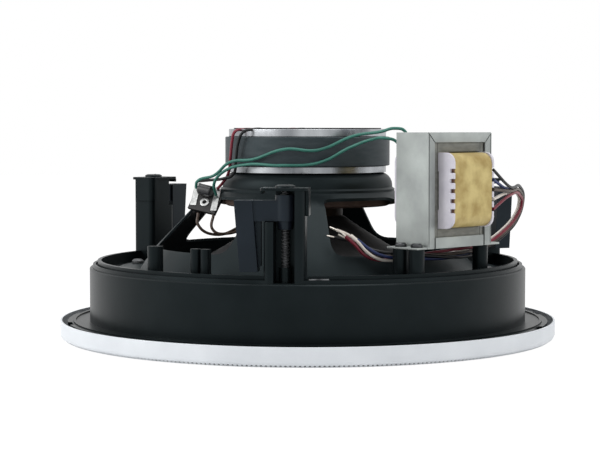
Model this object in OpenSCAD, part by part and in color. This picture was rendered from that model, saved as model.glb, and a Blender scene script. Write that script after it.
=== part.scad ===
// In-ceiling coaxial loudspeaker with a line transformer, lying face down on its grille.
// Millimetres. The origin is at the bottom centre of the grille, +Z points away from the room.

/* [Grille] */
// Outer diameter of the grille
grille_d = 270; // [268:1:290]
// Height of the grille's rim
grille_h = 10; // [8:0.5:14]
// Thickness of the perforated sheet
grille_t = 1; // [0.6:0.1:1.4]
// Rounding of the grille's outer edge
grille_edge = 3; // [2:0.5:5]
// Diameter of one large sound hole
sound_hole_d = 6; // [3:0.5:8]
// Distance between rings of sound holes
sound_pitch = 21; // [18:1:22]

/* [Baffle] */
// Diameter of the flange that laps over the ceiling
flange_d = 262; // [256:1:264]
// Thickness of the flange
flange_t = 3; // [2:0.5:4]
// How far the flange lies below the edge of the grille's rim
flange_drop = 0.7; // [0:0.1:2]
// Outer diameter of the drum, which passes the cut-out
drum_d = 238; // [236:1:239]
// Wall of the drum
drum_wall = 2.6; // [2:0.1:4]
// Height of the drum's shoulder above the flange
drum_h = 28.9; // [24:0.1:40]
// Outer diameter of the raised inner lip
lip_d = 229.4; // [228:0.2:230]
// Width of the raised inner lip
lip_w = 2; // [1.5:0.1:2.5]
// Height of the lip above the shoulder
lip_h = 3.8; // [2:0.1:5]
// Depth of the deck below the shoulder
deck_drop = 2.2; // [1:0.1:3]
// Thickness of the deck that carries the driver
deck_t = 3; // [2:0.5:4]
// Diameter of the hole in the deck behind the cone
deck_bore_d = 188; // [186:1:190]
// Diameter of a screw post
post_d = 8; // [7:0.5:9]
// Height of the posts above the deck
post_h = 17.5; // [14:0.5:20]
// Distance of the posts from the centre
post_r = 104.5; // [103:0.5:106]

/* [Clamps] */
// Distance of the clamp screws from the centre
clamp_r = 111; // [110:0.5:111.5]
// Direction of the first clamp
clamp_angle = -95.8; // [-97:0.1:-94]
// Number of clamps
clamp_count = 3; // [3:1:3]
// Width of a clamp tower
tower_w = 20.4; // [20:0.2:21]
// Height of the tower's tall wall above the deck
tower_h = 47.4; // [46:0.2:54]
// Height of the tower's low wall above the deck
tower_low_h = 32.3; // [30:0.1:34]
// Half width of the slot that the swinging dog turns in
tower_slot = 5.2; // [5:0.1:5.4]
// Diameter of the clamp screw
screw_d = 4.2; // [3.5:0.1:4.6]
// Diameter of the clamp screw's head
screw_head_d = 8.5; // [7:0.5:9]
// Height of the clamp screw's head
screw_head_h = 3; // [2:0.5:4]
// Reach of the dog from its screw
dog_reach = 24.7; // [23:0.1:25]
// Height of the dog's arm
dog_arm_h = 10.1; // [8:0.1:11]
// Height of the dog's leg below its arm
dog_leg_h = 24.6; // [20:0.1:25]
// Width of the dog's leg
dog_leg_w = 8.9; // [8:0.1:9.4]
// Thickness of the dog's leg
dog_leg_t = 9.4; // [8:0.1:9.6]
// Diameter of the dog's boss
dog_boss_d = 9.8; // [9:0.1:9.9]
// Thickness of the cap's plate
cap_t = 1.4; // [1:0.1:2]
// Length of the cap's skirt
cap_skirt = 12.2; // [8:0.1:14]

/* [Basket] */
// Diameter of the basket's flange
basket_d = 208; // [206:1:212]
// Thickness of the pressed steel
basket_t = 1.2; // [1:0.1:1.5]
// Height from the deck to the magnet's seat
basket_h = 53.5; // [52:0.5:58]
// Radius of the basket's neck
neck_r = 46.5; // [45:0.5:48]
// Half angle of one spoke
spoke_half = 19.25; // [16:0.25:22]
// Direction of the first spoke
spoke_angle = -100.75; // [-104:0.25:-98]
// Diameter of a basket screw
basket_screw_d = 3.5; // [3:0.5:4]

/* [Magnet] */
// Diameter of the ferrite ring
magnet_d = 90; // [88:1:92]
// Height of the ferrite ring
magnet_h = 15.7; // [14:0.1:20]
// Diameter of the steel plates
plate_d = 86; // [82:1:87]
// Thickness of the front plate
front_plate_t = 3.6; // [3:0.1:5]
// Thickness of the back plate
back_plate_t = 4.2; // [3:0.1:6]
// Diameter of the hole through the pole
pole_bore_d = 10; // [9:0.5:11]
// Thickness of the rear label
label_t = 0.5; // [0.3:0.1:1]

/* [Diaphragm] */
// Inner diameter of the voice coil's former
coil_d = 38; // [36:0.5:40]
// Height of the winding
coil_h = 9; // [7:0.5:10]
// Gap beside the voice coil
coil_gap = 0.6; // [0.4:0.1:0.8]
// Outer diameter of the cone
cone_d = 160; // [158:1:162]
// Thickness of the cone's paper
cone_t = 0.8; // [0.6:0.1:1]
// Height of the cone from its edge to its neck
cone_h = 31.5; // [29:0.5:32]
// Width of the surround's half roll
surround_w = 8; // [7:0.5:9]
// Outer diameter of the spider
spider_d = 96; // [92:1:98]

/* [Tweeter] */
// Diameter of the tweeter's housing
tweeter_d = 48; // [44:1:54]
// Depth of the tweeter's housing
tweeter_h = 15; // [13:0.5:18]
// Distance from the grille's face to the tweeter's front
tweeter_front = 22; // [18:0.5:24]
// Diameter of the tweeter's dome
dome_d = 26; // [24:1:28]

/* [Terminals] */
// Length of the terminal board
board_l = 16.5; // [16:0.5:20]
// Width of the terminal board
board_w = 11; // [10:0.5:12]
// Thickness of the terminal board
board_t = 1.6; // [1.2:0.1:2]
// Diameter of the tweeter's capacitor
capacitor_d = 6; // [5:0.5:7]

/* [Transformer] */
// Width of the lamination stack across the core
core_w = 47.4; // [47:0.1:48]
// Height of the lamination stack
core_h = 55.8; // [55:0.2:58]
// Depth of the lamination stack
stack = 19.2; // [18:0.2:21]
// Height of the core's centre limb
limb_h = 19; // [18:0.2:20]
// Height of the coil
coil_block_h = 38; // [36:0.2:38.2]
// Length of the bobbin between its outer faces
bobbin_l = 32; // [30:0.2:32.2]
// How far the coil stands out of the stack
coil_out = 10; // [8:0.2:11]
// Sheet of the clamping frame
frame_t = 1; // [0.8:0.1:1.2]
// Width of the frame's folded lips
frame_lip = 5; // [4:0.2:6]
// Length of the frame's feet
foot_l = 8.5; // [8:0.1:10]
// Distance of the transformer from the centre
trafo_r = 98; // [97:0.5:99]
// Direction of the transformer
trafo_angle = -45; // [-46:0.5:-44]

/* [Fits] */
// Clearance between pieces fixed to each other
fit_fixed = 0.1; // [0.05:0.05:0.2]
// Radial clearance of a turning fit
fit_run = 0.05; // [0.03:0.01:0.1]
// Gap between the grille's rim and the snap lugs
fit_grille = 0.15; // [0.1:0.05:0.3]
// Gap between pieces that pass each other
fit_pass = 0.3; // [0.3:0.05:0.5]

/* [Hidden] */
$fn = 96;

// Heights, from the grille upwards
flange_top = grille_h - flange_drop;
flange_low = flange_top - flange_t;
shoulder_z = flange_top + drum_h;
lip_z = shoulder_z + lip_h;
ledge_z = shoulder_z + lip_h / 2;
deck_z = shoulder_z - deck_drop;
deck_low = deck_z - deck_t;
post_z = deck_z + post_h;
tower_z = deck_z + tower_h;
tower_low_z = deck_z + tower_low_h;
seat_z = deck_z + basket_h;
magnet_z = seat_z + front_plate_t;
back_z = magnet_z + magnet_h;
label_z = back_z + back_plate_t;

// Radii of the baffle
drum_r = drum_d / 2;
drum_in = drum_r - drum_wall;
lip_r = lip_d / 2;
lip_in = lip_r - lip_w;
flange_r = flange_d / 2;
rim_in = grille_d / 2 - grille_t;
skirt_r = flange_r - 2.5;
skirt_w = 2.5;

// The clamps
clamp_turn = 360 / clamp_count;
dog_lift = [0, 1.6, 1.6];
tower_front = 6.8;
tower_back = 7.5;
tower_round = 3;
slot_back = 5.4;
slot_z = shoulder_z + 0.4;
tower_foot_z = deck_low + 1;
sleeve_h = 10;
sleeve_d = screw_d + 2.3;
dog_arm_z = tower_low_z + fit_pass;
dog_top_z = dog_arm_z + dog_arm_h;
dog_boss_z = dog_arm_z - 4;
dog_tip_z = dog_top_z + 2.7;
dog_arm_t = 7.2;
dog_lean = 2.8;
dog_web_s = 11.9;
cap_wide = 1.6;
cap_boss_d = 9.8;
cap_boss_h = 1.5;
screw_top_z = tower_z + cap_t + 0.4;

// The posts: single and twin, each with its direction and spread
spare_post_angle = -138.1;
spare_twin_angle = -120.8;
spare_twin_d = 5.4;
twin_spread = 3;
post_bore_d = 3;
foot_post_t = core_w / 2 + frame_t + foot_l / 2 + 0.05;
foot_twin = 5.2;
foot_out = 1.6;
foot_posts = [[-foot_post_t, -foot_twin - foot_out], [-foot_post_t, foot_twin - foot_out],
    [foot_post_t, 0]];
foot_screw_l = 9;
foot_head_d = 6;
foot_head_h = 2.1;

// The notches round the flange and the snap lugs below them
notch_angles = [-167, -138, -119, -91, -68, -47, -22, 9, 40, 71, 103, 135, 167];
notch_w = 12;
notch_depth = 2.2;
lug_w = 8;
lug_h = 2.5;

// The recess for the safety cable's pin
anchor_angle = -87.5;
anchor_w = 10;
anchor_pin_d = 2;

// The basket's outline, from the magnet's seat down to the flange
basket_r = basket_d / 2;
shoulder_round = 7;
bead = 1.2;
window_top_r = 60.6;
window_top_h = 36.4;
window_foot_r = 84;
window_foot_h = 12;
skirt_foot_r = 91.5;
window_in_r = 51;
window_out_r = 83;
basket_hole_r = 21;
basket_outline = concat(
    [[basket_hole_r, basket_h]],
    [for (a = [90:-15:0])
        [neck_r - shoulder_round * (1 - cos(a)), basket_h - shoulder_round * (1 - sin(a))]],
    [[neck_r, basket_h - 8], [neck_r + bead, basket_h - 9], [neck_r + bead, basket_h - 10.2],
     [neck_r + 4, basket_h - 12.5], [window_top_r, window_top_h],
     [window_foot_r, window_foot_h], [skirt_foot_r, basket_t]]);
basket_screw_r = (basket_r + deck_bore_d / 2) / 2;

// The diaphragm
former_t = 0.3;
former_r = coil_d / 2 + former_t;
wire_t = 0.8;
winding_r = former_r + wire_t;
pole_r = coil_d / 2 - coil_gap;
gap_r = winding_r + coil_gap;
coil_mid = seat_z + front_plate_t / 2;
cone_r = cone_d / 2;
cone_edge_z = deck_z - 1.6;
neck_z = cone_edge_z + cone_h;
former_top = coil_mid + coil_h / 2 + 0.3;
cone_line = [[former_r, neck_z], [former_r + 5.7, neck_z - 4],
    [former_r + 27, neck_z - 17.4], [cone_r - 18, cone_edge_z + 5.4], [cone_r, cone_edge_z]];
spider_z = deck_z + basket_h - 16.8;
spider_r = spider_d / 2;
spider_t = 0.8;
spider_wave = 1.1;
land_t = 0.8;
surround_in = cone_r + fit_run;
roll_r = surround_in + surround_w;
land_r = deck_bore_d / 2 - 0.8;

// The tweeter
tweeter_r = tweeter_d / 2;
dome_r = dome_d / 2;
tweeter_back = tweeter_front + tweeter_h;
tweeter_wall = 1.5;
tweeter_plate_t = 3;
stem_r = pole_bore_d / 2 - fit_run;
stem_bore = 3;
stem_in = 9;

// The terminal board's frame: it hangs on a tab of the basket beside the left spoke
board_at = [-55, -17.2, deck_z + 36.7];
board_turn = [-16.7, 56.6, -12.9];
rivet_d = 3.2;
tab_t = 2 * basket_t;
tag_t = 0.5;
tag_w = 3.4;

// The transformer's frame of reference
half_w = core_w / 2;
trafo_low = post_z;
core_low = trafo_low + frame_t + 0.05;
core_mid = core_low + core_h / 2;
half_stack = stack / 2;
coil_half_n = half_stack + coil_out;
limb_gap = 0.1;
window_gap = 0.2;
bobbin_wall = 1;
flange_sheet = 1.5;
wrap_t = 0.5;

// The leads
lead_d = 1.6;
lead_sides = 8;
green_1_path = [[48.9, -60.2, 96], [50.3, -61.5, 106], [49.5, -63, 112], [44.5, -62.3, 113.4],
    [37.5, -58, 111.7], [24, -50, 109.5], [5, -47.3, 102], [-12, -46.5, 102.5],
    [-29, -37.5, 97], [-41, -30.5, 95.5], [-50.4, -21, 88], [-59.7, -15.8, 84.5],
    [-60.2, -13.9, 81]];
green_2_path = [[46, -62.6, 88], [44.5, -64.2, 100], [42.3, -66.3, 106.3], [38.5, -62.8, 108.5],
    [34, -58.5, 108], [22, -51, 103.5], [6, -47.5, 95.5], [-14, -46.3, 94], [-32, -36.5, 94.3],
    [-44.5, -29, 90.5], [-50, -24.4, 84], [-49.3, -19.6, 77.5]];
red_path = [[-2, 1, 110], [-2.2, 0.6, 113.4], [-5, -1.2, 115.3], [-35, -21.5, 115.3],
    [-39.8, -27, 111.2], [-41, -25.2, 100], [-42.6, -22, 89], [-45.9, -19, 83.8],
    [-48.6, -17.4, 80.8]];
black_path = [[2, -1.5, 110], [1.8, -2, 113.4], [-1, -5.5, 115.3], [-29.5, -29, 115.3],
    [-35.5, -32, 110.8], [-38.2, -28.7, 97], [-39.6, -26.6, 89], [-45, -23.2, 86.5],
    [-52.7, -18.7, 85.5], [-59.6, -11.6, 84.7]];
tinsel_1_path = [[-58.9, -19, 67.9], [-58.9, -20, 61.5], [-50, -16.5, 56], [-36, -11, 60.5],
    [-26, -6, 68], [-20.2, -3.9, 70.9]];
tinsel_2_path = [[-50.4, -22.2, 65.8], [-50.8, -23.4, 59], [-42, -20.5, 57], [-32, -17, 61.5],
    [-24, -13.5, 68], [-17.7, -10.6, 70.9]];
tap_bundle = [[103.5, -54, 81], [112, -30, 80], [114.5, -21, 74], [112, -22, 66.5],
    [104, -28, 58], [92, -33.5, 50.5], [82, -44, 48.5], [72, -57, 48], [58.5, -69, 48],
    [43.5, -80, 48.3], [35.4, -82.5, 49.3], [29.9, -82.5, 51.8], [23.9, -82.5, 56.8],
    [18.8, -82, 59.3], [13.8, -81.5, 61.1]];
tap_exit = [93.98, -70.9, core_mid];
tap_step = 5;
lane_gap = 1.75;

function unit(v) = v / norm(v);
function way(path, i) =
    unit(path[min(i + 1, len(path) - 1)] - path[max(i - 1, 0)]);
function start_side(d) = unit(cross(d, abs(d[2]) < 0.8 ? [0, 0, 1] : [1, 0, 0]));
function carried(side, d) = unit(side - (side * d) * d);
function sides_of(path, i = 0, made = []) =
    i == len(path) ? made
    : sides_of(path, i + 1, concat(made,
        [i == 0 ? start_side(way(path, 0)) : carried(made[i - 1], way(path, i))]));

// One tap lead: out of its notch, then along the bundle, set off from the bundle's middle
function tap_path(k, u, w, count) =
    let (side = sides_of(tap_bundle))
    concat([tap_exit + [0, 0, k * tap_step]],
        [for (i = [0:count - 1]) tap_bundle[i]
            + lane_gap * (u * side[i] + w * cross(way(tap_bundle, i), side[i]))]);

// Outline of a rectangle with rounded corners
function round_rect(x0, x1, y0, y1, r) = concat(
    [for (a = [0:22.5:90]) [x1 - r + r * cos(a), y1 - r + r * sin(a)]],
    [for (a = [90:22.5:180]) [x0 + r + r * cos(a), y1 - r + r * sin(a)]],
    [for (a = [180:22.5:270]) [x0 + r + r * cos(a), y0 + r + r * sin(a)]],
    [for (a = [270:22.5:360]) [x1 - r + r * cos(a), y0 + r + r * sin(a)]]);

function polar(r, a) = [r * cos(a), r * sin(a)];
function bend(a, c, b) = [for (t = [0:0.2:1]) a * (1 - t) * (1 - t) + c * 2 * t * (1 - t) + b * t * t];

// A round tube swept along a path of points
module lead(path, d) {
    side = sides_of(path);
    n = len(path);
    rings = [for (i = [0:n - 1]) for (k = [0:lead_sides - 1])
        let (w = way(path, i), u = side[i], v = cross(w, u), a = 360 * k / lead_sides)
        path[i] + d / 2 * (cos(a) * u + sin(a) * v)];
    walls = [for (i = [0:n - 2]) for (k = [0:lead_sides - 1]) for (half = [0, 1])
        let (m = (k + 1) % lead_sides, p = i * lead_sides, q = p + lead_sides)
        half == 0 ? [p + k, q + k, q + m] : [p + k, q + m, p + m]];
    first = [[for (k = [0:lead_sides - 1]) k]];
    last = [[for (k = [lead_sides - 1:-1:0]) (n - 1) * lead_sides + k]];
    polyhedron(points = rings, faces = concat(first, walls, last));
}

// Places its children at one clamp, with +X pointing outwards
module at_clamp(i) {
    rotate([0, 0, clamp_angle + i * clamp_turn]) translate([clamp_r, 0, 0]) children();
}

// Places its children at the transformer: X along its coil, Y inwards, Z up
module at_transformer() {
    rotate([0, 0, trafo_angle + 90]) translate([0, -trafo_r, 0]) children();
}

// Places its children on the terminal board's back face
module at_board() {
    translate(board_at) rotate([0, 0, board_turn[0]]) rotate([board_turn[1], 0, 0])
        rotate([0, 0, board_turn[2]]) children();
}

// The perforated steel grille with its folded rim
module grille() {
    outer = grille_d / 2;
    soft = [for (a = [0:22.5:90])
        [outer - grille_edge * (1 - sin(a)), grille_edge * (1 - cos(a))]];
    inner_edge = grille_edge - grille_t;
    inside = [for (a = [90:-22.5:0])
        [rim_in - inner_edge * (1 - sin(a)), grille_t + inner_edge * (1 - cos(a))]];
    color("whitesmoke")
    difference() {
        rotate_extrude() polygon(concat([[0, 0]], soft, [[outer, grille_h], [rim_in, grille_h]],
            inside, [[0, grille_t]]));
        for (ring = [1:5]) for (k = [0:6 * ring - 1])
            rotate([0, 0, 60 * k / ring]) translate([ring * sound_pitch, 0, -1])
                cylinder(h = grille_t + 2, d = sound_hole_d);
    }
}

// One clamp tower without its slot
module tower() {
    translate([0, 0, tower_foot_z]) linear_extrude(tower_z - tower_foot_z)
        polygon(round_rect(-tower_back, tower_front, -tower_w / 2, tower_w / 2, tower_round));
}

// What is cut out of a tower: the slot, the low side and the way in from the front
module tower_slot_cut() {
    over = 20;
    translate([-slot_back, -tower_slot, slot_z])
        cube([slot_back + tower_front + 6, 2 * tower_slot, tower_h + over]);
    translate([-tower_back - 1, -tower_w, tower_low_z])
        cube([tower_back + tower_front + 2, tower_w - tower_slot + 0.01, tower_h + over]);
}

// Every post on the deck, single and twin, grown by a gap
module all_posts(from, high, gap) {
    rotate([0, 0, spare_post_angle]) translate([post_r, 0, from])
        cylinder(h = high, d = post_d + 2 * gap);
    for (side = [-1, 1])
        rotate([0, 0, spare_twin_angle]) translate([post_r, side * twin_spread, from])
            cylinder(h = high, d = spare_twin_d + 2 * gap);
    at_transformer() for (p = foot_posts) translate([p[0], p[1], from])
        cylinder(h = high, d = post_d + 2 * gap);
}

// What the towers need cut out of the basket's flange
module tower_notches(from, high) {
    for (i = [0:clamp_count - 1]) at_clamp(i) translate([0, 0, from]) linear_extrude(high)
        polygon(round_rect(-tower_back - fit_pass, tower_front, -tower_w / 2 - fit_pass,
            tower_w / 2 + fit_pass, tower_round));
}

// Places its children at each of the basket's four screws
module at_basket_screws() {
    for (k = [0:3]) rotate([0, 0, spoke_angle + 90 * k - 4]) translate([basket_screw_r, 0, 0])
        children();
}

// The turned part of the baffle, from the flange to the lip
module baffle_shell() {
    rotate_extrude() polygon([
        [skirt_r - skirt_w, grille_t + 0.2], [skirt_r, grille_t + 0.2],
        [skirt_r, flange_low], [flange_r, flange_low], [flange_r, flange_top],
        [skirt_r - 0.5, flange_top], [skirt_r - 0.5, flange_top + 0.7],
        [skirt_r - 1.9, flange_top + 0.7], [skirt_r - 1.9, flange_top],
        [drum_r, flange_top], [drum_r, shoulder_z - 0.6], [drum_r - 0.6, shoulder_z],
        [drum_r - 1.6, shoulder_z], [drum_r - 1.8, ledge_z], [lip_r + 1, ledge_z],
        [lip_r + 0.9, shoulder_z + 0.3], [lip_r, shoulder_z + 0.3], [lip_r, lip_z],
        [lip_in, lip_z], [lip_in, deck_z], [deck_bore_d / 2, deck_z],
        [deck_bore_d / 2, deck_low], [drum_in, deck_low], [drum_in, flange_low],
        [skirt_r - skirt_w, flange_low]]);
}

// The moulded baffle: flange, drum, deck, clamp towers, sleeves and posts
module baffle() {
    color([0.13, 0.14, 0.15])
    difference() {
        union() {
            difference() {
                union() {
                    baffle_shell();
                    difference() {
                        union() {
                            for (i = [0:clamp_count - 1]) at_clamp(i) tower();
                            all_posts(deck_low, post_h + deck_t, 0);
                        }
                        translate([0, 0, deck_low - 1])
                            cylinder(h = deck_t + 1, d = deck_bore_d);
                    }
                }
                for (i = [0:clamp_count - 1]) at_clamp(i) tower_slot_cut();
            }
            for (i = [0:clamp_count - 1]) at_clamp(i)
                translate([0, 0, deck_z - 0.5]) cylinder(h = sleeve_h + 0.5, d = sleeve_d);
            intersection() {
                translate([0, 0, grille_t + 1.5]) cylinder(h = lug_h, r = rim_in - fit_grille);
                for (a = notch_angles) rotate([0, 0, a]) translate([skirt_r - 1, -lug_w / 2, 0])
                    cube([rim_in, lug_w, grille_h]);
            }
        }
        for (i = [0:clamp_count - 1]) at_clamp(i)
            translate([0, 0, deck_low - 1]) cylinder(h = deck_t + 20, r = screw_d / 2 + fit_run);
        for (a = notch_angles) rotate([0, 0, a])
            translate([flange_r - notch_depth, -notch_w / 2, flange_low - 0.5])
                cube([10, notch_w, flange_t + 1]);
        rotate([0, 0, anchor_angle])
            translate([lip_r - 0.5, -anchor_w / 2, shoulder_z - 1])
                cube([drum_r - lip_r - 1.9, anchor_w, 10]);
        rotate([0, 0, spare_post_angle]) translate([post_r, 0, post_z - 12])
            cylinder(h = 20, d = post_bore_d);
        at_transformer() for (p = foot_posts)
            translate([p[0], p[1], post_z - 12]) cylinder(h = 20, d = post_bore_d);
        at_basket_screws() translate([0, 0, deck_low - 1])
            cylinder(h = deck_t + 2, d = basket_screw_d + 2 * fit_fixed);
    }
}

// One swinging dog, parked along its tower's low side
module clamp_dog(i) {
    lift = dog_lift[i];
    inner = dog_reach - dog_leg_w;
    leg_z = dog_arm_z - dog_leg_h;
    color([0.12, 0.13, 0.17])
    at_clamp(i) translate([0, 0, lift]) difference() {
        union() {
            translate([0, 0, dog_boss_z]) cylinder(h = 5, d = dog_boss_d - 2.4);
            translate([0, 0, dog_arm_z]) cylinder(h = dog_tip_z - dog_arm_z, d = dog_boss_d);
            translate([-dog_arm_t / 2, -dog_reach + 2, dog_arm_z])
                cube([dog_arm_t, dog_reach - 2, dog_arm_h]);
            translate([-dog_leg_t / 2, 0, 0]) rotate([90, 0, 90]) linear_extrude(dog_leg_t)
                polygon([[-inner, dog_top_z], [-dog_reach, dog_top_z],
                    [-dog_reach + dog_lean, leg_z], [-inner + dog_lean, leg_z]]);
            translate([-dog_leg_t / 2, 0, 0]) rotate([90, 0, 90]) linear_extrude(dog_leg_t / 2 + 0.5)
                polygon([[-dog_web_s, dog_top_z - 0.5], [-inner - 1, dog_top_z - 0.5],
                    [-inner + dog_lean - 1, leg_z + 1.5], [-dog_web_s, leg_z + 2.5]]);
        }
        translate([0, 0, dog_boss_z - 1])
            cylinder(h = dog_tip_z - dog_boss_z + 2, r = screw_d / 2 + fit_run);
    }
}

// One clamp screw: its head under the deck and its tip in the cap
module clamp_screw(i) {
    drive_w = 1;
    color("silver")
    at_clamp(i) difference() {
        union() {
            translate([0, 0, deck_low - fit_fixed - screw_head_h])
                cylinder(h = screw_head_h, d = screw_head_d);
            translate([0, 0, deck_low - fit_fixed - 0.5])
                cylinder(h = screw_top_z - deck_low + fit_fixed + 0.5, d = screw_d);
        }
        for (a = [0, 90]) rotate([0, 0, a])
            translate([-screw_head_d * 0.3, -drive_w / 2, deck_low - fit_fixed - screw_head_h - 1])
                cube([screw_head_d * 0.6, drive_w, 2.6]);
    }
}

// One cap, pushed over the tower's tall wall
module clamp_cap(i) {
    out = cap_wide - 0.2;
    color([0.14, 0.15, 0.16])
    at_clamp(i) difference() {
        union() {
            translate([0, 0, tower_z]) linear_extrude(cap_t)
                polygon(round_rect(-tower_back - out, tower_front + 0.4, -tower_w / 2 - cap_wide,
                    tower_w / 2 + cap_wide, tower_round));
            translate([0, 0, tower_z + cap_t]) cylinder(h = cap_boss_h * 0.6, d = cap_boss_d);
            translate([0, 0, tower_z + cap_t + cap_boss_h * 0.6])
                cylinder(h = cap_boss_h * 0.4, d1 = cap_boss_d, d2 = cap_boss_d * 0.75);
            translate([0, 0, tower_z - cap_skirt]) linear_extrude(cap_skirt + 0.5) difference() {
                polygon(round_rect(-tower_back - out, tower_front + 0.4, 0,
                    tower_w / 2 + cap_wide, tower_round));
                polygon(round_rect(-tower_back - fit_fixed, tower_front + fit_fixed, -tower_w / 2,
                    tower_w / 2 + fit_fixed, tower_round));
                translate([-20, -0.1]) square([40, tower_slot + 1.3]);
                translate([tower_front - tower_round, 0]) square([20, 20]);
            }
            translate([-tower_back, -tower_w / 2 - cap_wide, tower_z - 1.6])
                cube([tower_back + tower_front - 3, 1, 1.8]);
        }
        translate([0, 0, tower_z - 1]) cylinder(h = screw_top_z - tower_z + 1.2, r = screw_d / 2 + fit_run);
    }
}

// The steel pin in the rim's recess that takes a safety cable
module cable_anchor() {
    color("gainsboro")
    rotate([0, 0, anchor_angle]) translate([(lip_r + drum_r) / 2 - 1.4, 0, ledge_z - 0.3])
        rotate([90, 0, 0]) cylinder(h = anchor_w, d = anchor_pin_d, center = true);
}

// One window between two spokes, seen from above
module window_outline(mid) {
    a0 = mid - 45 + spoke_half;
    a1 = mid + 45 - spoke_half;
    soft_out = 5;
    soft_in = 8;
    polygon(concat(
        bend(polar(window_in_r + 5, a0), polar(window_in_r, a0), polar(window_in_r, a0 + soft_in)),
        [for (t = [0.25:0.25:0.75]) polar(window_in_r, a0 + soft_in + t * (a1 - a0 - 2 * soft_in))],
        bend(polar(window_in_r, a1 - soft_in), polar(window_in_r, a1), polar(window_in_r + 5, a1)),
        bend(polar(window_out_r - 7, a1), polar(window_out_r, a1), polar(window_out_r, a1 - soft_out)),
        [for (t = [0.1:0.1:0.9]) polar(window_out_r, a1 - soft_out - t * (a1 - a0 - 2 * soft_out))],
        bend(polar(window_out_r, a0 + soft_out), polar(window_out_r, a0), polar(window_out_r - 7, a0))));
}

// The pressed steel basket with four windows and a tab for the terminal board
module basket() {
    inner_line = [for (i = [len(basket_outline) - 1:-1:0])
        [basket_outline[i][0] - (i < 8 && i > 1 ? basket_t * 0.8 : 0),
         max(basket_outline[i][1] - (i > 7 ? basket_t * 1.3 : basket_t), 0)]];
    color([0.17, 0.18, 0.19])
    difference() {
        union() {
            difference() {
                translate([0, 0, deck_z]) rotate_extrude() polygon(concat(basket_outline,
                    [[basket_r, basket_t], [basket_r, 0], [skirt_foot_r - 2.5, 0]],
                    [for (i = [1:len(inner_line) - 1]) inner_line[i]]));
                for (k = [0:3]) translate([0, 0, deck_z + basket_t + 2]) linear_extrude(basket_h)
                    window_outline(spoke_angle + 45 + 90 * k);
            }
            at_board() translate([-board_l / 2 + 1, -board_w / 2 + 1, -tab_t])
                cube([board_l - 2, board_w + 4, tab_t]);
        }
        at_board() translate([0, 0, -tab_t - 1])
            cylinder(h = tab_t + 2, d = rivet_d + 2 * fit_fixed);
        at_board() translate([-board_l / 2 - fit_fixed, -board_w / 2 - fit_fixed, -fit_fixed / 2])
            cube([board_l + 2 * fit_fixed, board_w + 2 * fit_fixed, board_t + tag_t + 2]);
        at_basket_screws() translate([0, 0, deck_z - 1])
            cylinder(h = basket_t + 2, d = basket_screw_d + 2 * fit_fixed);
        all_posts(deck_z - 1, basket_t + 2, fit_pass);
        tower_notches(deck_z - 1, basket_t + 2);
    }
}

// The four pan head screws that hold the basket on the deck
module basket_screws() {
    color([0.1, 0.1, 0.1])
    at_basket_screws() {
        translate([0, 0, deck_low + 0.3]) cylinder(h = deck_t + basket_t, d = basket_screw_d);
        translate([0, 0, deck_z + basket_t]) cylinder(h = 1.4, d = basket_screw_d * 1.9);
        translate([0, 0, deck_z + basket_t + 1.4])
            cylinder(h = 1, d1 = basket_screw_d * 1.9, d2 = basket_screw_d * 1.2);
    }
}

// The front plate of the magnet
module front_plate() {
    color("silver")
    translate([0, 0, seat_z]) difference() {
        cylinder(h = front_plate_t, d = plate_d);
        translate([0, 0, -1]) cylinder(h = front_plate_t + 2, r = gap_r);
    }
}

// The ferrite ring
module magnet() {
    color([0.27, 0.27, 0.29])
    translate([0, 0, magnet_z]) difference() {
        cylinder(h = magnet_h, d = magnet_d);
        translate([0, 0, -1]) cylinder(h = magnet_h + 2, r = gap_r + 2);
    }
}

// The back plate and its pole, turned from one piece
module back_plate() {
    color("silver")
    difference() {
        union() {
            translate([0, 0, back_z]) cylinder(h = back_plate_t, d = plate_d);
            translate([0, 0, seat_z]) cylinder(h = back_z - seat_z + 1, r = pole_r);
        }
        translate([0, 0, seat_z - 1]) cylinder(h = label_z, d = pole_bore_d);
    }
}

// The blank black label on the back plate
module rear_label() {
    color([0.08, 0.08, 0.08])
    translate([0, 0, label_z]) difference() {
        cylinder(h = label_t, d = plate_d - 5.4);
        translate([0, 0, -1]) cylinder(h = label_t + 2, d = pole_bore_d);
    }
}

// The voice coil's former, a thin tube
module voice_coil_former() {
    color("tan")
    translate([0, 0, neck_z - 2]) difference() {
        cylinder(h = former_top - neck_z + 2, r = former_r);
        translate([0, 0, -1]) cylinder(h = former_top, r = coil_d / 2);
    }
}

// The winding on the former
module voice_coil_winding() {
    color("chocolate")
    translate([0, 0, coil_mid - coil_h / 2]) difference() {
        cylinder(h = coil_h, r = winding_r);
        translate([0, 0, -1]) cylinder(h = coil_h + 2, r = former_r);
    }
}

// The pressed paper cone
module cone() {
    last = len(cone_line) - 1;
    color([0.12, 0.12, 0.13])
    rotate_extrude() polygon(concat(cone_line,
        [for (i = [last:-1:0]) [cone_line[i][0], cone_line[i][1] - cone_t]]));
}

// The corrugated spider that centres the coil
module spider() {
    land = 3;
    inner = former_r + fit_run;
    roll = spider_r - land - inner - 1;
    steps = 30;
    wave = [for (i = [0:steps])
        [inner + 1 + roll * i / steps, spider_wave * sin(360 * 5 * i / steps)]];
    top = concat([[inner, 0]], wave, [[spider_r, 0]]);
    color([0.36, 0.22, 0.16])
    translate([0, 0, spider_z]) rotate_extrude() polygon(concat(
        [for (p = top) [p[0], p[1] + spider_t / 2]],
        [for (i = [len(top) - 1:-1:0]) [top[i][0], top[i][1] - spider_t / 2]]));
}

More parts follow.
